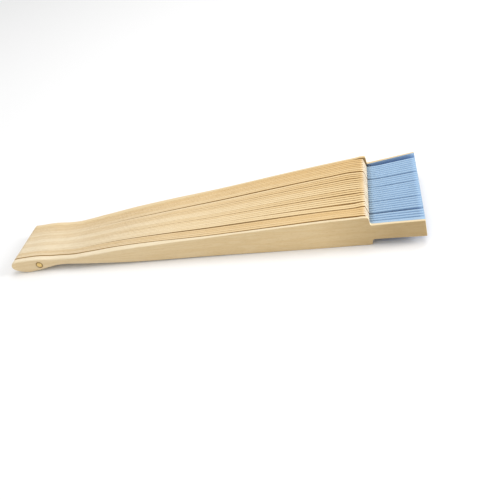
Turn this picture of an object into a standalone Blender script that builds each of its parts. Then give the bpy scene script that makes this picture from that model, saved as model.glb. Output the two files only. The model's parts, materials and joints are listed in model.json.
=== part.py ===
"""A closed wooden folding fan with a pleated fabric leaf, lying on its long edge.

A stick runs along its own s axis, from the rivet (s = 0) to the leaf, and stands on edge
(z up). The stack of sticks is built up along y, from the front guard to the back guard.
"""
import math

import bmesh
import bpy

MM = 0.001

# The stack
RIB_COUNT = 27
STICK_COUNT = RIB_COUNT + 2

# Lengths along a stick, from the rivet
TAIL_END = -17.1 * MM
NOSE_HEIGHT = 1.4 * MM
NOSE_OVER = 2.6 * MM
NOSE_UNDER = 9.0 * MM
SHOULDER_AT = 186.7 * MM
SHOULDER_ROUNDING = 0.7 * MM
STEP_LENGTH = 0.2 * MM
TIP_AT = 212.7 * MM

# A stick on edge, as (s, half height) and (s, height of its middle line above the rivet)
BLADE_EDGE = [
    (-9.5 * MM, 4.1 * MM),
    (-1 * MM, 3.85 * MM),
    (7 * MM, 2.7 * MM),
    (18 * MM, 2.15 * MM),
    (32 * MM, 2.97 * MM),
    (51 * MM, 4.35 * MM),
    (76 * MM, 5.3 * MM),
    (104 * MM, 6.0 * MM),
    (133 * MM, 7.0 * MM),
    (162 * MM, 7.85 * MM),
    (181 * MM, 8.05 * MM),
]
MIDDLE_LINE = [
    (-9.5 * MM, 0.0 * MM),
    (7 * MM, 0.2 * MM),
    (18 * MM, 0.15 * MM),
    (51 * MM, -0.1 * MM),
    (104 * MM, -0.4 * MM),
]
EDGE_STATIONS = 20
EDGE_CROWDING = 1.5
NOSE_STATIONS = (12, 25, 40, 55, 70)
SHOULDER_STATIONS = (0, 45, 80)
TIP_STATIONS = (0.0, 0.2, 0.4, 0.7, 1.0)

# The narrow end of each stick lies a little below the middle of its blade
TIP_MIDDLE = -1.2 * MM
GUARD_TIP_HALF = (4.25 * MM, 4.6 * MM)
SLIP_HALF = (2.9 * MM, 2.6 * MM)

# Half thickness of the whole stack, as (distance from the rivet, half thickness)
STACK_HALF = [
    (13 * MM, 18.6 * MM),
    (21 * MM, 19.7 * MM),
    (41 * MM, 20.9 * MM),
    (66 * MM, 22.2 * MM),
    (99 * MM, 23.9 * MM),
    (138 * MM, 26.6 * MM),
    (186 * MM, 30.1 * MM),
    (213 * MM, 32.9 * MM),
]
GUARD_THICK = [
    (13 * MM, 4.1 * MM),
    (49 * MM, 4.1 * MM),
    (68 * MM, 3.6 * MM),
    (96 * MM, 2.3 * MM),
    (186 * MM, 1.8 * MM),
    (213 * MM, 1.6 * MM),
]
RIB_THICK = [
    (13 * MM, 0.97 * MM),
    (59 * MM, 1.12 * MM),
    (99 * MM, 1.3 * MM),
    (138 * MM, 1.4 * MM),
    (186 * MM, 1.5 * MM),
]
SLIP_THICK = 0.5 * MM

# The sticks part unevenly. At each place, the gaps that differ from the rest, counted from the
# front guard, with their width as a multiple of an ordinary gap there
HEAD_GAPS_UNTIL = 19 * MM
HEAD_GAPS = {1: 2.0, 5: 1.4, 6: 1.4}
BLADE_GAPS_AT = 89 * MM
BLADE_GAPS = {1: 2.0, 2: 1.5, 5: 6.0, 11: 2.0, 13: 1.3, 17: 1.4, 18: 1.6, 21: 5.4}
SHOULDER_GAPS_AT = 179 * MM
SHOULDER_GAPS = {
    1: 1.8, 2: 0.3, 3: 0.3, 4: 0.3, 5: 1.7, 6: 0.4, 7: 2.8, 11: 2.0, 13: 1.4, 18: 1.6, 21: 2.4,
    22: 0.6, 23: 0.6, 24: 0.6, 25: 0.6, 26: 0.6, 27: 0.6,
}
TIP_GAPS_AT = 192 * MM
TIP_GAPS = {1: 1.5, 2: 1.5, 3: 1.3, 4: 1.3, 5: 4.2, 10: 2.2, 17: 2.0, 21: 3.2, 28: 9.5}

# The pleated leaf: one panel is the pleat that is glued to a stick
PLEAT_ANGLE = math.radians(2.6)
PANEL_THICK = 0.3 * MM
PANEL_GLUE_GAP = 0.1 * MM
PANEL_START = 187.9 * MM

# The rivet through the head
HOLE_RADIUS = 1.25 * MM
SHANK_RADIUS = 1.17 * MM
HEAD_RADIUS = 1.6 * MM
HEAD_HEIGHT = 0.6 * MM
WASHER_RADIUS = 2.0 * MM
WASHER_BORE = 1.27 * MM
WASHER_THICK = 0.3 * MM
RECESS_RADIUS = 2.15 * MM
RECESS_DEPTH = 0.7 * MM
SEAT_GAP = 0.1 * MM
ROUND_SIDES = 16
DOME_STATIONS = (0, 30, 60, 80)
CUTTER_REACH = 40 * MM

WOOD = ((0.72, 0.55, 0.32, 1.0), 0.55, 0.0)
FABRIC = ((0.36, 0.55, 0.80, 1.0), 0.85, 0.0)
BRASS = ((0.80, 0.58, 0.25, 1.0), 0.3, 1.0)


def along(points, x):
    """Read a smooth curve through the points, level beyond its ends."""
    if x <= points[0][0]:
        return points[0][1]
    if x >= points[-1][0]:
        return points[-1][1]
    slopes = [(b[1] - a[1]) / (b[0] - a[0]) for a, b in zip(points, points[1:])]
    index = max(i for i, point in enumerate(points[:-1]) if point[0] <= x)
    start, end = points[index], points[index + 1]
    span = end[0] - start[0]
    t = (x - start[0]) / span
    here = slopes[index]
    leave = here if index == 0 else (slopes[index - 1] + here) / 2
    arrive = here if index == len(slopes) - 1 else (here + slopes[index + 1]) / 2
    rise = (3 - 2 * t) * t * t
    return (
        start[1] * (1 - rise)
        + end[1] * rise
        + leave * span * t * (1 - t) ** 2
        - arrive * span * t * t * (1 - t)
    )


def step_along(points, x):
    """Ease from each point to the next, level at every point."""
    value = points[0][1]
    for start, end in zip(points, points[1:]):
        t = min(max((x - start[0]) / (end[0] - start[0]), 0.0), 1.0)
        value += (end[1] - start[1]) * (3 - 2 * t) * t * t
    return value


def gap_shares(s):
    """Share of the free space that each gap takes at s: almost equal at the head, uneven further out."""
    places = [
        (HEAD_GAPS_UNTIL, HEAD_GAPS),
        (BLADE_GAPS_AT, BLADE_GAPS),
        (SHOULDER_GAPS_AT, SHOULDER_GAPS),
        (TIP_GAPS_AT, TIP_GAPS),
    ]
    shares = []
    for gap in range(1, RIB_COUNT + 2):
        widths = [(place, special.get(gap, 1.0)) for place, special in places]
        shares.append(step_along(widths, s))
    total = sum(shares)
    return [share / total for share in shares]


def stick_middle(index, s):
    """Where the middle of a stick lies across the stack, at s."""
    outer = along(STACK_HALF, abs(s))
    guard = along(GUARD_THICK, abs(s))
    if index == 0:
        return guard / 2 - outer
    if index == STICK_COUNT - 1:
        return outer - guard / 2
    rib = along(RIB_THICK, abs(s))
    inner = outer - guard
    free = 2 * inner - RIB_COUNT * rib
    before = sum(gap_shares(abs(s))[:index])
    return -inner + free * before + (index - 0.5) * rib


def nose_sections():
    """The round end of the head: a tight curve above its nose and a long one below."""
    middle = MIDDLE_LINE[0][1]
    half = BLADE_EDGE[0][1]
    over = middle + half - NOSE_HEIGHT
    under = NOSE_HEIGHT - middle + half
    sections = []
    for degrees in NOSE_STATIONS:
        inward = NOSE_UNDER * (1 - math.cos(math.radians(degrees)))
        above = 1 - min(inward / NOSE_OVER, 1.0)
        high = NOSE_HEIGHT + over * math.sqrt(1 - above * above)
        low = NOSE_HEIGHT - under * math.sin(math.radians(degrees))
        sections.append((TAIL_END + inward, (high + low) / 2, (high - low) / 2))
    return sections


def blade_sections():
    """The head and blade of any stick, as (s, middle height, half height)."""
    sections = nose_sections()
    first = BLADE_EDGE[0][0]
    last, full = BLADE_EDGE[-1]
    for station in range(EDGE_STATIONS + 1):
        # Stations lie closer together round the head and the neck
        part = (station / EDGE_STATIONS) ** EDGE_CROWDING
        s = first + (last - first) * part
        sections.append((s, along(MIDDLE_LINE, s), along(BLADE_EDGE, s)))
    for degrees in SHOULDER_STATIONS:
        turned = math.radians(degrees)
        s = SHOULDER_AT - SHOULDER_ROUNDING * (1 - math.sin(turned))
        half = full - SHOULDER_ROUNDING * (1 - math.cos(turned))
        sections.append((s, MIDDLE_LINE[-1][1], half))
    return sections


def tip_sections(halves):
    """The narrow end past the shoulder."""
    start = SHOULDER_AT + STEP_LENGTH
    sections = []
    for part in TIP_STATIONS:
        half = halves[0] + (halves[1] - halves[0]) * part
        sections.append((start + (TIP_AT - start) * part, TIP_MIDDLE, half))
    return sections


def loft(name, sections, middle, thickness):
    """A closed solid through upright rectangles along s."""
    shape = bmesh.new()
    rings = []
    for s, height, half in sections:
        y = middle(s)
        side = thickness(s) / 2
        corners = ((y - side, height - half), (y + side, height - half),
                   (y + side, height + half), (y - side, height + half))
        rings.append([shape.verts.new((s, across, up)) for across, up in corners])
    for ring, following in zip(rings, rings[1:]):
        for corner in range(4):
            after = (corner + 1) % 4
            shape.faces.new((ring[corner], following[corner], following[after], ring[after]))
    shape.faces.new(rings[0])
    shape.faces.new(list(reversed(rings[-1])))
    return finish_mesh(name, shape)


def turn(profile):
    """A closed solid turned about the y axis from (y, radius) points between its two poles."""
    shape = bmesh.new()
    rings = []
    for y, radius in profile:
        ring = []
        for side in range(ROUND_SIDES):
            angle = math.tau * side / ROUND_SIDES
            ring.append(shape.verts.new((radius * math.cos(angle), y, radius * math.sin(angle))))
        rings.append(ring)
    for ring, following in zip(rings, rings[1:]):
        for side in range(ROUND_SIDES):
            after = (side + 1) % ROUND_SIDES
            shape.faces.new((ring[side], ring[after], following[after], following[side]))
    return shape, rings


def finish_mesh(name, shape):
    bmesh.ops.recalc_face_normals(shape, faces=shape.faces)
    mesh = bpy.data.meshes.new(name)
    shape.to_mesh(mesh)
    shape.free()
    return mesh


def capped_turn(name, profile):
    shape, rings = turn(profile)
    shape.faces.new(rings[0])
    shape.faces.new(rings[-1])
    return finish_mesh(name, shape)


def ring_turn(name, profile):
    """A turned ring: its profile closes on itself."""
    shape, rings = turn(profile)
    for side in range(ROUND_SIDES):
        after = (side + 1) % ROUND_SIDES
        shape.faces.new((rings[-1][side], rings[-1][after], rings[0][after], rings[0][side]))
    return finish_mesh(name, shape)


def make_material(name, look):
    colour, roughness, metallic = look
    material = bpy.data.materials.new(name)
    material.use_nodes = True
    shader = material.node_tree.nodes["Principled BSDF"]
    shader.inputs["Base Color"].default_value = colour
    shader.inputs["Roughness"].default_value = roughness
    shader.inputs["Metallic"].default_value = metallic
    return material


def place(name, mesh, look, pivot):
    """Put a piece in the scene, with its origin on the rivet's axis."""
    piece = bpy.data.objects.new(name, mesh)
    piece.parent = pivot
    mesh.materials.append(make_material(name, look))
    bpy.context.scene.collection.objects.link(piece)
    return piece


def make_cutter(name, radius, low, high, pivot):
    cutter = bpy.data.objects.new(name, capped_turn(name, [(low, radius), (high, radius)]))
    cutter.parent = pivot
    cutter.hide_render = True
    cutter.display_type = "WIRE"
    bpy.context.scene.collection.objects.link(cutter)
    return cutter


def cut(piece, cutter):
    modifier = piece.modifiers.new(cutter.name, "BOOLEAN")
    modifier.operation = "DIFFERENCE"
    modifier.solver = "EXACT"
    modifier.object = cutter


def make_pivot():
    """The rivet's place: the fan stands on its head and its shoulder, centred on the origin."""
    head_foot = (BLADE_EDGE[0][0], MIDDLE_LINE[0][1] - BLADE_EDGE[0][1])
    shoulder_foot = (BLADE_EDGE[-1][0], MIDDLE_LINE[-1][1] - BLADE_EDGE[-1][1])
    tilt = math.atan2(head_foot[1] - shoulder_foot[1], shoulder_foot[0] - head_foot[0])
    outline = []
    for s, height, half in blade_sections() + tip_sections(GUARD_TIP_HALF):
        outline.append((s, height - half))
        outline.append((s, height + half))
    level = [(s * math.cos(tilt) - z * math.sin(tilt), s * math.sin(tilt) + z * math.cos(tilt))
             for s, z in outline]
    left = min(x for x, z in level)
    right = max(x for x, z in level)
    low = min(z for x, z in level)
    pivot = bpy.data.objects.new("rivet_axis", None)
    pivot.location = (-(left + right) / 2, 0.0, -low)
    pivot.rotation_euler = (0.0, -tilt, 0.0)
    bpy.context.scene.collection.objects.link(pivot)
    return pivot


def make_guard(name, index, pivot, hole, recess):
    mesh = loft(
        name,
        blade_sections() + tip_sections(GUARD_TIP_HALF),
        lambda s: stick_middle(index, s),
        lambda s: along(GUARD_THICK, abs(s)),
    )
    guard = place(name, mesh, WOOD, pivot)
    cut(guard, hole)
    cut(guard, recess)


def make_rib(index, pivot, hole):
    name = f"rib_{index:02d}"

    def thickness(s):
        return along(RIB_THICK, abs(s)) if s <= SHOULDER_AT else SLIP_THICK

    mesh = loft(
        name,
        blade_sections() + tip_sections(SLIP_HALF),
        lambda s: stick_middle(index, s),
        thickness,
    )
    cut(place(name, mesh, WOOD, pivot), hole)


def make_panel(index, pivot):
    """The pleat on the front side of a rib's slip, or of the back guard's narrow end."""
    name = f"leaf_panel_{index:02d}"
    is_guard = index == STICK_COUNT - 1

    def middle(s):
        stick = along(GUARD_THICK, s) if is_guard else SLIP_THICK
        return stick_middle(index, s) - stick / 2 - PANEL_GLUE_GAP - PANEL_THICK / 2

    half_turn = math.tan(PLEAT_ANGLE / 2)
    sections = []
    for part in TIP_STATIONS:
        s = PANEL_START + (TIP_AT - PANEL_START) * part
        sections.append((s, TIP_MIDDLE, s * half_turn))
    mesh = loft(name, sections, middle, lambda s: PANEL_THICK)
    place(name, mesh, FABRIC, pivot)


def make_rivet(pivot):
    """A shank with a domed head at each end, in the recesses of the two guards."""
    face = STACK_HALF[0][1]
    seat = face - RECESS_DEPTH + SEAT_GAP + WASHER_THICK + SEAT_GAP
    back = []
    for degrees in DOME_STATIONS:
        turned = math.radians(degrees)
        back.append((seat + HEAD_HEIGHT * math.sin(turned), HEAD_RADIUS * math.cos(turned)))
    profile = [(-y, radius) for y, radius in reversed(back)]
    profile += [(-seat, SHANK_RADIUS), (seat, SHANK_RADIUS)]
    profile += back
    place("rivet", capped_turn("rivet", profile), BRASS, pivot)
    for name, side in (("washer_front", -1), ("washer_back", 1)):
        inner = side * (face - RECESS_DEPTH + SEAT_GAP)
        outer = inner + side * WASHER_THICK
        ring = [(inner, WASHER_BORE), (inner, WASHER_RADIUS), (outer, WASHER_RADIUS), (outer, WASHER_BORE)]
        place(name, ring_turn(name, ring), BRASS, pivot)
    return face


def main():
    for old in list(bpy.data.objects):
        bpy.data.objects.remove(old, do_unlink=True)
    pivot = make_pivot()
    face = make_rivet(pivot)
    floor = face - RECESS_DEPTH
    hole = make_cutter("hole_cutter", HOLE_RADIUS, -CUTTER_REACH, CUTTER_REACH, pivot)
    front = make_cutter("front_recess_cutter", RECESS_RADIUS, -CUTTER_REACH, -floor, pivot)
    back = make_cutter("back_recess_cutter", RECESS_RADIUS, floor, CUTTER_REACH, pivot)
    make_guard("guard_front", 0, pivot, hole, front)
    for index in range(1, RIB_COUNT + 1):
        make_rib(index, pivot, hole)
    make_guard("guard_back", STICK_COUNT - 1, pivot, hole, back)
    for index in range(1, STICK_COUNT):
        make_panel(index, pivot)


main()
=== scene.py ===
import json
import math
import random

import bmesh
import bpy
import numpy as np
from mathutils import Matrix, Vector


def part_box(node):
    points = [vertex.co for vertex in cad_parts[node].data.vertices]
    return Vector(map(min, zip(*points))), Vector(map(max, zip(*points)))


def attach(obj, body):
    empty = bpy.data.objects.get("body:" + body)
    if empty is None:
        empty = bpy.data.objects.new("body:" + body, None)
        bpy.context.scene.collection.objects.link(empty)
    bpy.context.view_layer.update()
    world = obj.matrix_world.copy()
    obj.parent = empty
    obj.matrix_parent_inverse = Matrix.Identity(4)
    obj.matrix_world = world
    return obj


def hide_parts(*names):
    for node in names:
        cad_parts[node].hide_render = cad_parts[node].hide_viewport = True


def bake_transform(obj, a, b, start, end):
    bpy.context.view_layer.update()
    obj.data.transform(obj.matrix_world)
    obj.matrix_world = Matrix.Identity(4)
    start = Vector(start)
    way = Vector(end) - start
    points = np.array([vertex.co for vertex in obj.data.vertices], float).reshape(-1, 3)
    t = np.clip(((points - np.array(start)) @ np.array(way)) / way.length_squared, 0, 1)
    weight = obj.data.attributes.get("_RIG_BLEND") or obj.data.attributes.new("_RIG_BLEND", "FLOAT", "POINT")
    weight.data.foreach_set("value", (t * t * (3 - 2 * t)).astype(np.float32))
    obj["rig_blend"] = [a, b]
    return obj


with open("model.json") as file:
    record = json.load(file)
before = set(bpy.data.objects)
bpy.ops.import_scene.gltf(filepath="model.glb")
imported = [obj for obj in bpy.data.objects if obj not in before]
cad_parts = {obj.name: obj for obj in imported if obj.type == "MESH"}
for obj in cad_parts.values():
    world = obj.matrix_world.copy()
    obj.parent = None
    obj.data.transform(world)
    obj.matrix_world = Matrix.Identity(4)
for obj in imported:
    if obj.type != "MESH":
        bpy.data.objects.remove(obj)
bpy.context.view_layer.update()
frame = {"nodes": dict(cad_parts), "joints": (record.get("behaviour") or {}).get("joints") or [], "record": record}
print("frame loaded:", len(frame["nodes"]), "nodes")

mm = 0.001
joints = frame["joints"]
sticks = ["guard_front"] + sorted(n for n in frame["nodes"] if n.startswith("rib_")) + ["guard_back"]
lastStick = len(sticks) - 1

# the fan lies on the round of its head and on its shoulder, so a stick rises a little along its
# length: the end face of the guard shows by how much
guardCorners = [v.co for v in frame["nodes"]["guard_front"].data.vertices]
guardEnd = max(c.x for c in guardCorners)
endFaceDepth = 1.0 * mm  # corners this close to the guard's end are on its end face
endCorners = [c for c in guardCorners if c.x > guardEnd - endFaceDepth]
lowest = min(endCorners, key=lambda c: c.z)
highest = max(endCorners, key=lambda c: c.z)
tilt = math.atan2(lowest.x - highest.x, highest.z - lowest.z)
pivot = Vector(joints[0]["pos_m"])
fromStick = Matrix.Translation(pivot) @ Matrix.Rotation(-tilt, 4, "Y")  # stick frame to fan frame
toStick = fromStick.inverted()


class Wire:  # an output socket that can be added, scaled and compared
    def __init__(self, graph, socket):
        self.graph = graph
        self.socket = socket

    def math(self, operation, first, second=None, third=None):
        values = [v for v in (first, second, third) if v is not None]
        return self.graph.add("ShaderNodeMath", {"operation": operation}, dict(enumerate(values)))

    def __add__(self, other):
        return self.math("ADD", self, other)

    def __radd__(self, other):
        return self.math("ADD", other, self)

    def __sub__(self, other):
        return self.math("SUBTRACT", self, other)

    def __rsub__(self, other):
        return self.math("SUBTRACT", other, self)

    def __mul__(self, other):
        return self.math("MULTIPLY", self, other)

    def __rmul__(self, other):
        return self.math("MULTIPLY", other, self)

    def __truediv__(self, other):
        return self.math("DIVIDE", self, other)

    def __pow__(self, other):
        return self.math("POWER", self, other)

    def sine(self):
        return self.math("SINE", self)

    def sign(self):
        return self.math("SIGN", self)

    def abs(self):
        return self.math("ABSOLUTE", self)

    def least(self, other):
        return self.math("MINIMUM", self, other)

    def clamped(self):
        return self.math("MINIMUM", self.math("MAXIMUM", self, 0.0), 1.0)

    def out(self, name):  # another output of the same node
        return Wire(self.graph, self.socket.node.outputs[name])


class Graph:  # a node tree, of either kind
    def __init__(self, tree):
        self.tree = tree

    def add(self, kind, settings=None, sockets=None, output=0):
        node = self.tree.nodes.new(kind)
        for name, value in (settings or {}).items():
            if name == "stops":
                self.setStops(node.color_ramp, value)
            elif name == "points":
                self.setPoints(node.mapping, value)
            else:
                setattr(node, name, value)
        for name, value in (sockets or {}).items():
            self.feed(node.inputs[name], value)
        return Wire(self, node.outputs[output]) if node.outputs else node

    def feed(self, socket, value):
        if isinstance(value, Wire):
            self.tree.links.new(value.socket, socket)
        else:
            socket.default_value = value

    def setStops(self, ramp, stops):
        while len(ramp.elements) < len(stops):
            ramp.elements.new(0.5)
        for element, (place, colour) in zip(ramp.elements, stops):
            element.position = place
            element.color = (*colour, 1.0)

    def setPoints(self, mapping, points):
        curve = mapping.curves[0]
        while len(curve.points) < len(points):
            curve.points.new(0.5, 0.5)
        for point, (x, y) in zip(curve.points, points):
            point.location = (x, y)
            point.handle_type = "AUTO"
        mapping.update()

    def mix(self, share, first, second, blend="MIX"):
        sockets = {0: share, 6: first, 7: second}
        return self.add("ShaderNodeMix", {"data_type": "RGBA", "blend_type": blend}, sockets, 2)

    def noise(self, x, y, z, sockets):
        return self.add("ShaderNodeTexNoise", None, {"Vector": self.join(x, y, z), "Scale": 1.0, **sockets})

    def split(self, vector):
        return self.add("ShaderNodeSeparateXYZ", None, {0: vector})

    def join(self, x, y, z):
        return self.add("ShaderNodeCombineXYZ", None, {0: x, 1: y, 2: z})


def colour(red, green, blue):
    return (red, green, blue, 1.0)


def newMaterial(name):
    material = bpy.data.materials.new(name)
    material.use_nodes = True
    material.node_tree.nodes.clear()
    return material, Graph(material.node_tree)


def finishMaterial(graph, sockets):
    shader = graph.add("ShaderNodeBsdfPrincipled", None, sockets)
    graph.add("ShaderNodeOutputMaterial", None, {"Surface": shader})


def woodMaterial(name, look):
    material, graph = newMaterial(name)
    place = graph.add("ShaderNodeTexCoord", output="Object")
    facing = graph.split(graph.add("ShaderNodeTexCoord", output="Normal"))
    shade = graph.add("ShaderNodeAttribute", {"attribute_name": "shade"}, output="Fac")
    tone = graph.add("ShaderNodeAttribute", {"attribute_name": "tone"}, output="Fac")
    xyz = graph.split(place)
    along, across, up = xyz, xyz.out("Y"), xyz.out("Z")
    fine = graph.noise(along * look["fibreAlong"], across * look["fibreAcross"] + shade * 37.0,
                       up * look["fibreAcross"], {"Detail": 5.0, "Roughness": 0.65})
    broad = graph.noise(along * look["broadAlong"], across * look["broadAcross"] + shade * 53.0,
                        up * look["broadAcross"], {"Detail": 3.0, "Distortion": 0.6})
    rings = (broad * look["ringTurns"]).sine() * 0.5 + 0.5
    poreUp, poreSide = up * look["poreAcross"], across * look["poreAcross"] + shade * 11.0
    pores = graph.join(along * look["poreAlong"], poreSide, poreUp)
    pore = graph.add("ShaderNodeTexVoronoi", {"feature": "F1"}, {"Vector": pores, "Scale": 1.0})
    poreMask = (1.0 - pore * 3.0).clamped() * look["poreDepth"]
    outward = ((along - look["paleUntil"]) / (look["warmFrom"] - look["paleUntil"])).clamped()
    base = graph.mix(tone, graph.mix(outward, look["pale"], look["warm"]), look["band"], "MULTIPLY")
    spread = (shade - 0.5) * look["toneSpread"]
    streak = (rings * look["ringDepth"] + fine * look["fibreDepth"] + spread).clamped()
    grained = graph.mix(streak, base, look["grain"], "MULTIPLY")
    pored = graph.mix(poreMask, grained, look["pore"], "MULTIPLY")
    # painted shade: the broad side faces are multiplied darker, more on toned sticks, for the shade in the gaps
    # between the sticks, and darker still from the tip onward for painted shade there
    broadSide = facing.out("Y").abs() ** 3.0
    tipShadeShare = ((along - look["tipShadeFrom"]) / look["tipShadeOver"]).clamped()
    sideShade = graph.mix(tipShadeShare, graph.mix(tone, look["sideShade"], look["sideShadeBand"]), look["tipSideShade"])
    faced = graph.mix(broadSide, pored, sideShade, "MULTIPLY")
    # painted highlight: faces that look towards the tip, the shoulder's and tip's end faces, are blended towards
    # the pale end colour
    endHighlight = facing.clamped() ** 3.0 * look["endHighlightDepth"]
    faced = graph.mix(endHighlight, faced, look["end"])
    height = fine * 0.7 + rings * 0.15 - poreMask * 0.6
    bump = graph.add("ShaderNodeBump", None, {"Strength": look["bump"], "Distance": 0.0002, "Height": height})
    finishMaterial(graph, {
        "Base Color": faced,
        "Roughness": look["roughness"] + fine * 0.2,
        "Normal": bump,
        "Specular IOR Level": 0.35,
    })
    return material


def fabricMaterial(look):
    material, graph = newMaterial("leafCloth")
    uv = graph.split(graph.add("ShaderNodeAttribute", {"attribute_name": "clothPlace"}, output="Vector"))
    run, rise = uv, uv.out("Y")
    turnsPerMetre = math.tau / look["threadPitch"]
    warp = (run * turnsPerMetre).sine()
    weft = (rise * turnsPerMetre).sine()
    weave = (warp * weft) * 0.5 + 0.5
    place = graph.add("ShaderNodeTexCoord", output="Object")
    patch = graph.add("ShaderNodeTexNoise", None, {"Vector": place, "Scale": 160.0, "Detail": 3.0})
    slub = graph.noise(run * look["slubAlong"], rise * look["slubAcross"], 0.0, {})
    thread = graph.mix((weave * 0.35 + patch * 0.4 + slub * 0.25).clamped(), look["deep"], look["light"])
    # painted shade: the cloth is multiplied darker down the pleat from its crest top into the valley, in the open
    # leaf too
    valleyShade = (1.0 - (uv.out("Z") - look["valleyShadeUntil"]) / (look["valleyShadeFrom"] - look["valleyShadeUntil"])).clamped()
    tone = graph.mix(valleyShade, thread, look["valleyShade"], "MULTIPLY")
    bump = graph.add("ShaderNodeBump", None, {
        "Strength": look["bump"],
        "Distance": 0.00006,
        "Height": weave * 0.8 + slub * 0.4,
    })
    finishMaterial(graph, {
        "Base Color": tone,
        "Roughness": 0.78 + patch * 0.12,
        "Normal": bump,
        "Specular IOR Level": 0.25,
        "Sheen Weight": 0.25,
        "Sheen Roughness": 0.5,
    })
    return material


def brassMaterial(name, look):
    material, graph = newMaterial(name)
    place = graph.add("ShaderNodeTexCoord", output="Object")
    cloud = graph.add("ShaderNodeTexNoise", None, {"Vector": place, "Scale": 900.0, "Detail": 4.0})
    scuff = graph.add("ShaderNodeTexNoise", None, {"Vector": place, "Scale": 4200.0, "Detail": 2.0})
    tone = graph.mix(cloud, look["dull"], look["bright"])
    bump = graph.add("ShaderNodeBump", None, {"Strength": 0.15, "Distance": 0.00005, "Height": scuff})
    finishMaterial(graph, {
        "Base Color": tone,
        "Metallic": 1.0,
        "Roughness": look["roughness"] + cloud * 0.15,
        "Normal": bump,
    })
    return material


guardLook = dict(
    pale=colour(0.90, 0.80, 0.62), warm=colour(0.86, 0.73, 0.50), paleUntil=-0.09, warmFrom=0.11,
    grain=colour(0.82, 0.72, 0.53), pore=colour(0.58, 0.46, 0.30), band=colour(0.88, 0.78, 0.60),
    # the next colours paint shade on the broad side faces, darker towards the tip; end paints a highlight on the
    # end faces
    sideShade=colour(0.88, 0.80, 0.66), sideShadeBand=colour(0.88, 0.80, 0.66), tipSideShade=colour(0.60, 0.52, 0.39),
    tipShadeFrom=0.065, tipShadeOver=0.035, end=colour(0.93, 0.84, 0.68), endHighlightDepth=0.5,
    fibreAlong=55, fibreAcross=2400, broadAlong=7, broadAcross=210,
    ringTurns=42, poreAlong=230, poreAcross=3800,
    ringDepth=0.22, fibreDepth=0.55, toneSpread=0.1, poreDepth=0.4, bump=0.22, roughness=0.42,
)
ribLook = dict(
    guardLook,
    pale=colour(0.88, 0.77, 0.58), warm=colour(0.85, 0.65, 0.36), paleUntil=-0.10, warmFrom=0.09,
    # the colours that multiply the broad side faces paint shade for the gaps between the sticks, darker on toned
    # sticks and towards the tip; end paints a highlight on the end faces
    band=colour(0.86, 0.74, 0.55), sideShade=colour(0.86, 0.78, 0.62), sideShadeBand=colour(0.52, 0.38, 0.20),
    tipSideShade=colour(0.70, 0.56, 0.36), tipShadeFrom=0.075, tipShadeOver=0.02,
    toneSpread=0.3, ringDepth=0.15, end=colour(0.97, 0.89, 0.74), endHighlightDepth=0.9,
)
clothLook = dict(
    deep=colour(0.255, 0.405, 0.58), light=colour(0.44, 0.61, 0.80), threadPitch=0.32 * mm, bump=0.35,
    # painted shade: this darker blue multiplies the cloth below the crest tops, in the pleat valleys
    valleyShade=colour(0.12, 0.30, 0.60), valleyShadeUntil=0.6, valleyShadeFrom=0.985,
    slubAlong=300.0, slubAcross=4500.0,
)
brassLook = dict(dull=colour(0.62, 0.42, 0.15), bright=colour(0.86, 0.64, 0.28), roughness=0.22)
# the washers' dark brass is partly their metal and partly painted shade for the recess around the rivet head
washerAndRecessShadeLook = dict(dull=colour(0.30, 0.19, 0.07), bright=colour(0.48, 0.33, 0.14), roughness=0.38)

guardWood = woodMaterial("guardWood", guardLook)
ribWood = woodMaterial("ribWood", ribLook)
leafCloth = fabricMaterial(clothLook)
rivetBrass = brassMaterial("rivetBrass", brassLook)
washerBrassAndRecessShade = brassMaterial("washerBrassAndRecessShade", washerAndRecessShadeLook)
print("materials made")


rivetClear = 2.7 * mm  # hole and recess corners lie closer to the rivet than this
sectionGap = 0.05 * mm
leastHeight = 1.0 * mm  # a lower group of corners is no section
shoulderDrop = 1.5 * mm


def readStations(name):
    # the corners of each upright section of a stick, as rows of (s, low y, high y, low z, high z)
    corners = [toStick @ v.co for v in frame["nodes"][name].data.vertices]
    corners = sorted((c for c in corners if math.hypot(c.x, c.z) > rivetClear), key=lambda c: c.x)
    groups = []
    for corner in corners:
        if not groups or corner.x - groups[-1][-1].x > sectionGap:
            groups.append([])
        groups[-1].append(corner)
    rows = []
    for group in groups:
        ys = [c.y for c in group]
        zs = [c.z for c in group]
        if max(zs) - min(zs) > leastHeight:
            rows.append((sum(c.x for c in group) / len(group), min(ys), max(ys), min(zs), max(zs)))
    return np.array(rows)


def smoothRun(rows, spacing):
    # a smooth curve through the rows, with a point about every spacing
    steps = np.maximum(np.linalg.norm(np.diff(rows[:, [0, 4]], axis=0), axis=1), 1e-6)
    slopes = np.diff(rows, axis=0) / steps[:, None]
    blended = slopes[:-1] * steps[1:, None] + slopes[1:] * steps[:-1, None]
    middle = blended / (steps[:-1] + steps[1:])[:, None]
    tangents = np.vstack([slopes[:1], middle, slopes[-1:]])
    points = []
    for i, step in enumerate(steps):
        count = max(1, math.ceil(step / spacing))
        for j in range(count):
            t = j / count
            points.append(
                rows[i] * (2 * t**3 - 3 * t**2 + 1) + rows[i + 1] * (3 * t**2 - 2 * t**3)
                + tangents[i] * step * (t**3 - 2 * t**2 + t) + tangents[i + 1] * step * (t**3 - t**2)
            )
    points.append(rows[-1])
    return np.array(points)


stations = {name: readStations(name) for name in sticks}
topSteps = np.diff(stations["guard_front"][:, 4])
shoulderRow = int(np.argmax(topSteps < -shoulderDrop))  # last section of the blade
tipStart = stations["guard_front"][shoulderRow + 1, 0]
tipEnd = stations["guard_front"][-1, 0]
print("sections per stick:", len(stations["guard_front"]))
print("leaf from", round(tipStart / mm, 1), "to", round(tipEnd / mm, 1), "mm")


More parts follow.
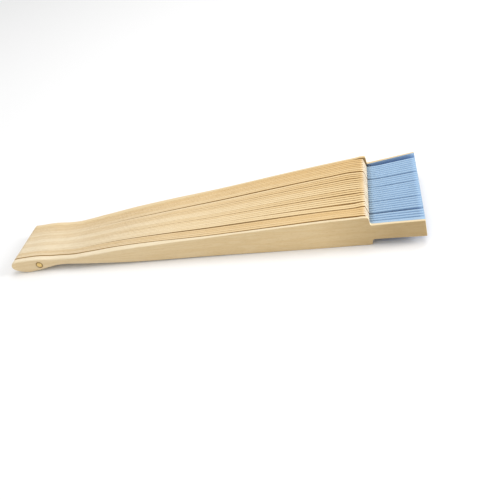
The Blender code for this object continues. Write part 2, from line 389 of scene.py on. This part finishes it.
def newTree(name, inputs):
    tree = bpy.data.node_groups.new(name, "GeometryNodeTree")
    tree.interface.new_socket("Geometry", in_out="OUTPUT", socket_type="NodeSocketGeometry")
    tree.interface.new_socket("Spine", in_out="INPUT", socket_type="NodeSocketGeometry")
    for label, kind in inputs:
        tree.interface.new_socket(label, in_out="INPUT", socket_type=kind)
    graph = Graph(tree)
    given = graph.add("NodeGroupInput")
    return tree, graph, given


def named(graph, name, kind="FLOAT"):
    return graph.add("GeometryNodeInputNamedAttribute", {"data_type": kind}, {"Name": name})


def store(graph, geometry, name, value, kind="FLOAT"):
    sockets = {"Geometry": geometry, "Name": name, "Value": value}
    return graph.add("GeometryNodeStoreNamedAttribute", {"data_type": kind, "domain": "POINT"}, sockets)


def placedAt(graph, geometry, x, y, z):
    sockets = {"Geometry": geometry, "Position": graph.join(x, y, z)}
    return graph.add("GeometryNodeSetPosition", None, sockets)


def seedNumber(graph, given):
    sockets = {2: 0.0, 3: 90.0, "Seed": given.out("Seed"), "ID": 0}
    return graph.add("FunctionNodeRandomValue", {"data_type": "FLOAT"}, sockets, 1)


def closeTree(graph, geometry, given):
    whole = graph.add("GeometryNodeRealizeInstances", None, {"Geometry": geometry})
    sockets = {"Geometry": whole, "Material": given.out("Material")}
    painted = graph.add("GeometryNodeSetMaterial", None, sockets)
    graph.add("NodeGroupOutput", None, {"Geometry": painted})


def buildStickTree():
    # an upright slat with softened edges: a square profile is swept along the spine, then each
    # corner is set from the section's own thickness and height
    tree, graph, given = newTree("slatAlongSpine", [
        ("Edge Radius", "NodeSocketFloat"),
        ("Head Roundness", "NodeSocketFloat"),
        ("Edge Steps", "NodeSocketInt"),
        ("Waviness", "NodeSocketFloat"),
        ("Seed", "NodeSocketInt"),
        ("Material", "NodeSocketMaterial"),
    ])
    fillet = 0.5
    square = graph.add("GeometryNodeCurvePrimitiveQuadrilateral", None, {"Width": 2.0, "Height": 2.0})
    rounded = graph.add("GeometryNodeFilletCurve", None, {"Curve": square, "Radius": fillet})
    filletNode = rounded.socket.node
    if "Mode" in filletNode.inputs:
        filletNode.inputs["Mode"].default_value = "Poly"
    else:
        filletNode.mode = "POLY"
    graph.feed(filletNode.inputs["Count"], given.out("Edge Steps"))
    place = graph.add("GeometryNodeInputPosition")
    profile = store(graph, rounded, "profile", place, "FLOAT_VECTOR")
    spine = graph.add("GeometryNodeMeshToCurve", None, {"Mesh": given.out("Spine")})
    spine = store(graph, spine, "spine", place, "FLOAT_VECTOR")
    sweep = {"Curve": spine, "Profile Curve": profile, "Fill Caps": True}
    swept = graph.add("GeometryNodeCurveToMesh", None, sweep)
    corner = graph.split(named(graph, "profile", "FLOAT_VECTOR"))
    line = graph.split(named(graph, "spine", "FLOAT_VECTOR"))
    thick, high = named(graph, "thick"), named(graph, "high")
    headFrom, headFull = stickSettings["headReach"]
    towardsHead = graph.add("ShaderNodeMapRange", None, {0: line, 1: headFrom, 2: headFull, 3: 0.0, 4: 1.0})
    roundness = given.out("Edge Radius") * (1.0 + towardsHead * given.out("Head Roundness"))
    radius = roundness.least(thick * stickSettings["edgeOfThick"])
    radius = radius.least(high * stickSettings["edgeOfHeight"])
    seed = seedNumber(graph, given)
    wave = graph.add("ShaderNodeTexNoise", {"noise_dimensions": "4D"}, {
        "Vector": graph.join(line * stickSettings["wavesPerMetre"], 0.0, corner.out("Y")),
        "W": seed,
        "Scale": 1.0,
        "Detail": 1.0,
    })
    sideways = corner.sign()
    upward = corner.out("Y").sign()
    cornerY = (corner - sideways * (1.0 - fillet)) / fillet
    cornerZ = (corner.out("Y") - upward * (1.0 - fillet)) / fillet
    y = line.out("Y") + sideways * (thick * 0.5 - radius) + cornerY * radius
    ripple = (wave - 0.5) * given.out("Waviness")
    z = line.out("Z") + upward * (high * 0.5 - radius) + cornerZ * radius + ripple
    closeTree(graph, placedAt(graph, swept, line, y, z), given)
    return tree


def buildPleatTree(name, shape):
    # a strip of cloth across one gap; shape holds how far it bulges, crosses and rises along its way
    tree, graph, given = newTree(name, [
        ("Crest Width", "NodeSocketFloat"),
        ("Way Steps", "NodeSocketInt"),
        ("Wrinkle", "NodeSocketFloat"),
        ("Seed", "NodeSocketInt"),
        ("Material", "NodeSocketMaterial"),
    ])
    ends = {"Start": (0, 0, 0), "End": (1, 0, 0)}
    line = graph.add("GeometryNodeCurvePrimitiveLine", {"mode": "POINTS"}, ends)
    way = graph.add("GeometryNodeResampleCurve", None, {"Curve": line, "Count": given.out("Way Steps")})
    place = graph.add("GeometryNodeInputPosition")
    way = store(graph, way, "way", graph.split(place))
    spine = graph.add("GeometryNodeMeshToCurve", None, {"Mesh": given.out("Spine")})
    spine = store(graph, spine, "spine", place, "FLOAT_VECTOR")
    swept = graph.add("GeometryNodeCurveToMesh", None, {"Curve": spine, "Profile Curve": way})
    t = named(graph, "way")
    bulge = graph.add("ShaderNodeFloatCurve", {"points": shape["bulge"]}, {"Value": t})
    cross = graph.add("ShaderNodeFloatCurve", {"points": shape["cross"]}, {"Value": t})
    rise = graph.add("ShaderNodeFloatCurve", {"points": shape["rise"]}, {"Value": t})
    base = graph.split(named(graph, "spine", "FLOAT_VECTOR"))
    front, back, high = named(graph, "front"), named(graph, "back"), named(graph, "high")
    seed = seedNumber(graph, given)
    wrinkle = graph.add("ShaderNodeTexNoise", {"noise_dimensions": "4D"}, {
        "Vector": graph.join(base * leafSettings["wrinklesPerMetre"], t * 2.0, 0.0),
        "W": seed,
        "Scale": 1.0,
        "Detail": 2.0,
    })
    ripple = (wrinkle - 0.5) * given.out("Wrinkle")
    y = front + (back - front) * cross + bulge * given.out("Crest Width") * shape["side"] + ripple * 0.4
    z = base.out("Z") + (rise - 0.5) * high + ripple
    moved = placedAt(graph, swept, base, y, z)
    clothPlace = graph.join(t * shape["wayLength"], base, rise)
    closeTree(graph, store(graph, moved, "clothPlace", clothPlace, "FLOAT_VECTOR"), given)
    return tree


def spineObject(name, points, attributes):
    mesh = bpy.data.meshes.new(name)
    edges = [(i, i + 1) for i in range(len(points) - 1)]
    mesh.from_pydata([tuple(p) for p in points], edges, [])
    for label, values in attributes.items():
        attribute = mesh.attributes.new(label, "FLOAT", "POINT")
        attribute.data.foreach_set("value", np.asarray(values, np.float32))
    piece = bpy.data.objects.new(name, mesh)
    bpy.context.scene.collection.objects.link(piece)
    return piece


def growWith(piece, tree, values):
    modifier = piece.modifiers.new(tree.name, "NODES")
    modifier.node_group = tree
    for item in tree.interface.items_tree:
        if item.in_out == "INPUT" and item.name in values:
            modifier[item.identifier] = values[item.name]


treeAttributes = ("profile", "spine", "way", "thick", "high", "front", "back")


def settle(piece):
    # the evaluated shape becomes the piece's own plain mesh
    bpy.context.view_layer.update()
    graph = bpy.context.evaluated_depsgraph_get()
    made = bpy.data.meshes.new_from_object(piece.evaluated_get(graph), depsgraph=graph)
    made.name = piece.name
    piece.modifiers.clear()
    piece.data = made
    for label in [a.name for a in made.attributes if a.name in treeAttributes]:
        made.attributes.remove(made.attributes[label])


def giveNumber(mesh, name, value):
    attribute = mesh.attributes.new(name, "FLOAT", "POINT")
    attribute.data.foreach_set("value", np.full(len(mesh.vertices), value, np.float32))


stickSettings = dict(
    spacing=3.0 * mm,
    endSoftening=0.25 * mm,
    guardEdge=0.4 * mm,
    ribEdge=0.07 * mm,
    guardHeadRoundness=1.8,
    ribHeadRoundness=-0.7,
    edgeSteps=3,
    edgeOfThick=0.42,  # the edge's radius is at most these shares of a section
    edgeOfHeight=0.3,
    headReach=(75 * mm, 12 * mm),  # the head's roundness starts and is full here
    guardWave=0.10 * mm,
    ribWave=0.12 * mm,
    wavesPerMetre=55.0,
    stepFillet=1.1 * mm,
    shoulderLean=1.3 * mm,
    shoulderStep=0.03 * mm,
    swell=[(50 * mm, 0), (80 * mm, 0.1 * mm), (150 * mm, 0.12 * mm), (180 * mm, 0)],
    holeRadius=1.25 * mm,
    recessRadius=2.15 * mm,
    recessDepth=0.7 * mm,
    holeSides=40,
    seed=41,
    tones=[(0, 0), (1, 0.5), (4, 0.6), (5, 0.0), (9, 0.0), (10, 0.3), (12, 0.2), (13, 0.0), (15, 0.15),
           (16, 0.4), (18, 0.5), (20, 0.25), (21, 0.35), (24, 0.6), (28, 0.8)],
)
stickTree = buildStickTree()


def soften(rows, inset):
    # a smaller section at each end takes the sharpness off it
    ends = []
    for row, direction in ((rows[0], -1), (rows[-1], 1)):
        end = row.copy()
        end[[1, 3]] += inset
        end[[2, 4]] -= inset
        row[0] -= direction * inset
        ends.append(end)
    return np.vstack([ends[0], rows, ends[1]])


def rowAt(rows, s):
    return np.array([s] + [np.interp(s, rows[:, 0], rows[:, i]) for i in range(1, 5)])


def slantShoulder(blade, foot):
    # the upper shoulder leans back a little, so its end face catches the light
    end = blade[-1].copy()
    start = end[0] - stickSettings["shoulderLean"]
    top = rowAt(blade, start)
    end[4] = foot
    return np.vstack([blade[blade[:, 0] < start - 0.1 * mm], top, end])


def filletStep(tip, radius):
    # a small curve where the narrow end meets the shoulder
    start = tip[0].copy()
    reach = [start[0] + radius * part for part in (0.15, 0.35, 0.6, 1.0)]
    rows = [start]
    start[3] -= radius
    start[4] += radius
    for s in reach:
        row = rowAt(tip, s)
        lift = radius * (1 - math.sqrt(max(0.0, 1 - (1 - (s - start[0]) / radius) ** 2)))
        row[3] -= lift
        row[4] += lift
        rows.append(row)
    rows += [row for row in tip if row[0] > reach[-1] + 0.5 * mm]
    return np.array(rows)


def cylinderCutter(name, radius, low, high):
    mesh = bpy.data.meshes.new(name)
    shape = bmesh.new()
    turn = Matrix.Translation((0, (low + high) / 2, 0)) @ Matrix.Rotation(math.pi / 2, 4, "X")
    bmesh.ops.create_cone(
        shape, cap_ends=True, segments=stickSettings["holeSides"], radius1=radius, radius2=radius,
        depth=high - low, matrix=turn,
    )
    shape.to_mesh(mesh)
    shape.free()
    cutter = bpy.data.objects.new(name, mesh)
    cutter.hide_render = True
    bpy.context.scene.collection.objects.link(cutter)
    return cutter


def cutWith(piece, cutter):
    modifier = piece.modifiers.new(cutter.name, "BOOLEAN")
    modifier.object = cutter
    modifier.operation = "DIFFERENCE"
    modifier.solver = "EXACT"


def makeStick(index, cutters, draw):
    name = sticks[index]
    isGuard = index in (0, lastStick)
    rows = stations[name]
    blade = smoothRun(rows[: shoulderRow + 1], stickSettings["spacing"])
    tip = smoothRun(rows[shoulderRow + 1:], stickSettings["spacing"])
    if isGuard:
        tip = filletStep(tip, stickSettings["stepFillet"])
    else:
        blade = slantShoulder(blade, stations["guard_front"][shoulderRow + 1, 4])
        tip[0, 0] = blade[-1, 0] + stickSettings["shoulderStep"]
    rows = soften(np.vstack([blade, tip]), stickSettings["endSoftening"] * (1.0 if isGuard else 0.5))
    points = np.column_stack([rows[:, 0], (rows[:, 1] + rows[:, 2]) / 2, (rows[:, 3] + rows[:, 4]) / 2])
    thick = rows[:, 2] - rows[:, 1]
    if not isGuard:
        thick = thick + np.interp(rows[:, 0], *zip(*stickSettings["swell"]))
    piece = spineObject(name + "_wood", points, {"thick": thick, "high": rows[:, 4] - rows[:, 3]})
    growWith(piece, stickTree, {
        "Edge Radius": stickSettings["guardEdge" if isGuard else "ribEdge"],
        "Head Roundness": stickSettings["guardHeadRoundness" if isGuard else "ribHeadRoundness"],
        "Edge Steps": stickSettings["edgeSteps"],
        "Waviness": stickSettings["guardWave" if isGuard else "ribWave"],
        "Seed": index,
        "Material": guardWood if isGuard else ribWood,
    })
    for cutter in cutters:
        cutWith(piece, cutter)
    weighted = piece.modifiers.new("evenNormals", "WEIGHTED_NORMAL")
    weighted.weight = 80
    settle(piece)
    piece.data.transform(fromStick)
    giveNumber(piece.data, "shade", draw.random())
    giveNumber(piece.data, "tone", np.interp(index, *zip(*stickSettings["tones"])))
    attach(piece, bodyOf[name])
    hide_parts(name)


bodyOf = {}
for body, members in frame["record"]["behaviour"]["bodies"].items():
    for member in members:
        bodyOf[member] = body

face = max(abs(y) for y in stations["guard_front"][4, 1:3])  # outer face of the flat head
recessFloor = face - stickSettings["recessDepth"]
hole = cylinderCutter("rivetHole", stickSettings["holeRadius"], -2 * face, 2 * face)
frontRecess = cylinderCutter("frontRecess", stickSettings["recessRadius"], -2 * face, -recessFloor)
backRecess = cylinderCutter("backRecess", stickSettings["recessRadius"], recessFloor, 2 * face)
draw = random.Random(stickSettings["seed"])
for index in range(len(sticks)):
    cutters = [hole]
    if index == 0:
        cutters.append(frontRecess)
    if index == lastStick:
        cutters.append(backRecess)
    makeStick(index, cutters, draw)
for cutter in (hole, frontRecess, backRecess):
    bpy.data.objects.remove(cutter)
print("sticks made:", len(sticks))


leafSettings = dict(
    startsAfterShoulder=-0.13 * mm,
    crestShare=0.28,
    crestMost=0.8 * mm,
    glueGap=0.12 * mm,
    cloth=0.13 * mm,
    waySteps=34,
    rows=11,
    wrinkle=0.10 * mm,
    wrinklesPerMetre=120.0,
    gluedSeed=100,
    freeSeed=200,
    blendRise=0.35,  # of the pleat's height above its middle
)
# along the way from the top of a crest: out over the fold, down and across to the fold below
freeShape = dict(
    side=1.0,
    bulge=[(0, 0), (0.03, 0.5), (0.07, 0.86), (0.12, 1.0), (0.2, 0.92), (0.5, 0.75), (0.85, 0.4), (1, 0)],
    cross=[(0, 0), (0.12, 0.0), (0.5, 0.08), (0.75, 0.3), (0.93, 0.85), (1, 1)],
    rise=[(0, 1), (0.03, 0.985), (0.07, 0.95), (0.12, 0.9), (0.2, 0.8), (0.6, 0.4), (0.95, 0.02), (1, 0)],
    wayLength=10.4 * mm,
)
# from the fold below, straight up the slip, and out over the next crest
gluedShape = dict(
    side=-1.0,
    bulge=[(0, 0), (0.7, 0.12), (0.8, 0.6), (0.88, 0.92), (0.93, 0.85), (0.97, 0.5), (1, 0)],
    cross=[(0, 0), (0.84, 0.0), (0.9, 0.1), (1, 1)],
    rise=[(0, 0), (0.8, 0.8), (0.88, 0.9), (0.93, 0.95), (0.97, 0.985), (1, 1)],
    wayLength=10.2 * mm,
)
freeTree = buildPleatTree("freePleat", freeShape)
gluedTree = buildPleatTree("gluedPleat", gluedShape)

leafS = np.linspace(tipStart + leafSettings["startsAfterShoulder"], tipEnd, leafSettings["rows"])


def readAt(name, column):
    rows = smoothRun(stations[name][shoulderRow + 1:], 1.0 * mm)
    return np.interp(leafS, rows[:, 0], rows[:, column])


lowFace = {i: readAt(n, 1) for i, n in enumerate(sticks)}
highFace = {i: readAt(n, 2) for i, n in enumerate(sticks)}
pleatEdges = readStations("leaf_panel_01")
leafLow = np.interp(leafS, pleatEdges[:, 0], pleatEdges[:, 3])
leafTop = np.interp(leafS, pleatEdges[:, 0], pleatEdges[:, 4])
leafMiddle, leafHigh = (leafLow + leafTop) / 2, leafTop - leafLow


def crestHalf(index):
    if index == lastStick:
        return 0.0
    pitches = []
    for neighbour in (index - 1, index + 1):
        if 0 < neighbour < lastStick:
            gap = (lowFace[neighbour] + highFace[neighbour] - lowFace[index] - highFace[index]) / 2
            pitches.append(abs(gap).mean())
    return min(leafSettings["crestShare"] * min(pitches), leafSettings["crestMost"])


def crestLine(index):
    if index == 0:
        return highFace[0] + leafSettings["glueGap"] + crestHalf(0)
    return (lowFace[index] + highFace[index]) / 2


def gluedLine(index):
    if index == 0:
        return highFace[0] + leafSettings["glueGap"]
    return lowFace[index] - leafSettings["glueGap"]


def makePleat(name, tree, front, back, crest, seed):
    points = np.column_stack([leafS, np.zeros(len(leafS)), leafMiddle])
    piece = spineObject(name, points, {"front": front, "back": back, "high": leafHigh})
    growWith(piece, tree, {
        "Crest Width": crest,
        "Way Steps": leafSettings["waySteps"],
        "Wrinkle": leafSettings["wrinkle"],
        "Seed": seed,
        "Material": leafCloth,
    })
    solid = piece.modifiers.new("clothThickness", "SOLIDIFY")
    solid.thickness = leafSettings["cloth"]
    solid.offset = 0.0
    settle(piece)
    for polygon in piece.data.polygons:
        polygon.use_smooth = True
    piece.data.transform(fromStick)
    return piece


for index in range(len(sticks)):
    front = gluedLine(index)
    back = crestLine(index) if index < lastStick else front
    seed = leafSettings["gluedSeed"] + index
    glued = makePleat(f"leaf_glued_{index:02d}", gluedTree, front, back, crestHalf(index), seed)
    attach(glued, bodyOf[sticks[index]])
    if index:
        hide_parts(f"leaf_panel_{index:02d}")
half = len(leafS) // 2
blendTop = leafMiddle[half] + leafSettings["blendRise"] * leafHigh[half]
start = fromStick @ Vector((leafS[half], 0, blendTop))
end = fromStick @ Vector((leafS[half], 0, leafLow[half]))
for index in range(1, len(sticks)):
    front, back = crestLine(index - 1), gluedLine(index)
    seed = leafSettings["freeSeed"] + index
    free = makePleat(f"leaf_free_{index:02d}", freeTree, front, back, crestHalf(index - 1), seed)
    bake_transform(free, bodyOf[sticks[index - 1]], bodyOf[sticks[index]], start=start, end=end)
print("leaf made:", 2 * len(sticks) - 1, "strips")


rivetSettings = dict(
    shank=1.17 * mm,
    head=1.6 * mm,
    headHeight=0.6 * mm,
    washer=2.0 * mm,
    bore=1.27 * mm,
    sides=48,
    rim=0.12 * mm,
    washerEdge=0.08 * mm,
    sharpFrom=35,  # degrees
)


def turned(name, profile, closed):
    # profile is (y, radius) points, turned about the rivet's axis
    shape = bmesh.new()
    rings = []
    for y, radius in profile:
        ring = []
        for side in range(rivetSettings["sides"]):
            angle = math.tau * side / rivetSettings["sides"]
            ring.append(shape.verts.new((radius * math.cos(angle), y, radius * math.sin(angle))))
        rings.append(ring)
    pairs = list(zip(rings, rings[1:]))
    if closed:
        pairs.append((rings[-1], rings[0]))
    for ring, following in pairs:
        for side in range(rivetSettings["sides"]):
            after = (side + 1) % rivetSettings["sides"]
            shape.faces.new((ring[side], ring[after], following[after], following[side]))
    if not closed:
        shape.faces.new(rings[0])
        shape.faces.new(rings[-1])
    bmesh.ops.recalc_face_normals(shape, faces=shape.faces)
    mesh = bpy.data.meshes.new(name)
    shape.to_mesh(mesh)
    shape.free()
    for polygon in mesh.polygons:
        polygon.use_smooth = True
    mesh.set_sharp_from_angle(angle=math.radians(rivetSettings["sharpFrom"]))
    mesh.transform(fromStick)
    piece = bpy.data.objects.new(name, mesh)
    bpy.context.scene.collection.objects.link(piece)
    return piece


def makeRivet():
    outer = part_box("rivet")[1].y
    base = outer - rivetSettings["headHeight"]
    rim = rivetSettings["rim"]
    dome = [(base, rivetSettings["head"] - rim), (base + rim, rivetSettings["head"])]
    for degrees in range(15, 90, 15):
        turn = math.radians(degrees)
        rise = (rivetSettings["headHeight"] - rim) * math.sin(turn)
        dome.append((base + rim + rise, rivetSettings["head"] * math.cos(turn)))
    profile = [(-y, radius) for y, radius in reversed(dome)]
    profile += [(-base, rivetSettings["shank"]), (base, rivetSettings["shank"])] + dome
    rivet = turned("rivet_brass", profile, False)
    rivet.data.materials.append(rivetBrass)
    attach(rivet, bodyOf["rivet"])
    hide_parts("rivet")


def makeWasher(node):
    low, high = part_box(node)
    bore, radius, edge = rivetSettings["bore"], rivetSettings["washer"], rivetSettings["washerEdge"]
    ring = [
        (low.y, bore), (low.y, radius - edge), (low.y + edge, radius),
        (high.y - edge, radius), (high.y, radius - edge), (high.y, bore),
    ]
    washer = turned(node + "_brass", ring, True)
    washer.data.materials.append(washerBrassAndRecessShade)
    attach(washer, bodyOf[node])
    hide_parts(node)


makeRivet()
for node in ("washer_front", "washer_back"):
    makeWasher(node)
print("rivet and washers made")


studio = dict(
    floorSide=6.0,
    floorColour=colour(0.93, 0.93, 0.93),
    skyStrength=0.77,
    lights=dict(
        key=dict(power=2.7, size=0.7, place=(0.22, 0.25, 0.9)),
        side=dict(power=4.2, size=0.4, place=(0.9, -0.05, 0.45)),
    ),
)


def makeFloor():
    mesh = bpy.data.meshes.new("floor")
    reach = studio["floorSide"] / 2
    corners = [(-reach, -reach, 0), (reach, -reach, 0), (reach, reach, 0), (-reach, reach, 0)]
    mesh.from_pydata(corners, [], [(0, 1, 2, 3)])
    floor = bpy.data.objects.new("floor", mesh)
    bpy.context.scene.collection.objects.link(floor)
    material, graph = newMaterial("paleFloor")
    finishMaterial(graph, {"Base Color": studio["floorColour"], "Roughness": 0.9, "Specular IOR Level": 0.1})
    mesh.materials.append(material)


def makeLight(name, power, size, place):
    light = bpy.data.lights.new(name, "AREA")
    light.energy = power
    light.shape = "DISK"
    light.size = size
    lamp = bpy.data.objects.new(name, light)
    lamp.location = place
    lamp.rotation_euler = (-Vector(place)).to_track_quat("-Z", "Y").to_euler()  # towards the fan
    bpy.context.scene.collection.objects.link(lamp)


def makeSky():
    world = bpy.data.worlds.new("studio")
    world.use_nodes = True
    backdrop = world.node_tree.nodes["Background"]
    backdrop.inputs["Color"].default_value = colour(1, 1, 1)
    backdrop.inputs["Strength"].default_value = studio["skyStrength"]
    bpy.context.scene.world = world


view = dict(
    place=(0.10322, -0.28634, 0.19436),
    turn=(53.657, 13.408, 6.743),  # degrees
    lens=46.35,
    sensor=36.0,
)


def makeCamera():
    lens = bpy.data.cameras.new("view")
    lens.lens = view["lens"]
    lens.sensor_width = view["sensor"]
    lens.clip_start = 0.01
    camera = bpy.data.objects.new("view", lens)
    camera.location = view["place"]
    camera.rotation_euler = [math.radians(a) for a in view["turn"]]
    bpy.context.scene.collection.objects.link(camera)
    bpy.context.scene.camera = camera


makeFloor()
makeSky()
for name, lamp in studio["lights"].items():
    makeLight(name, **lamp)
makeCamera()
bpy.context.scene.view_settings.view_transform = "Standard"
print("studio made")
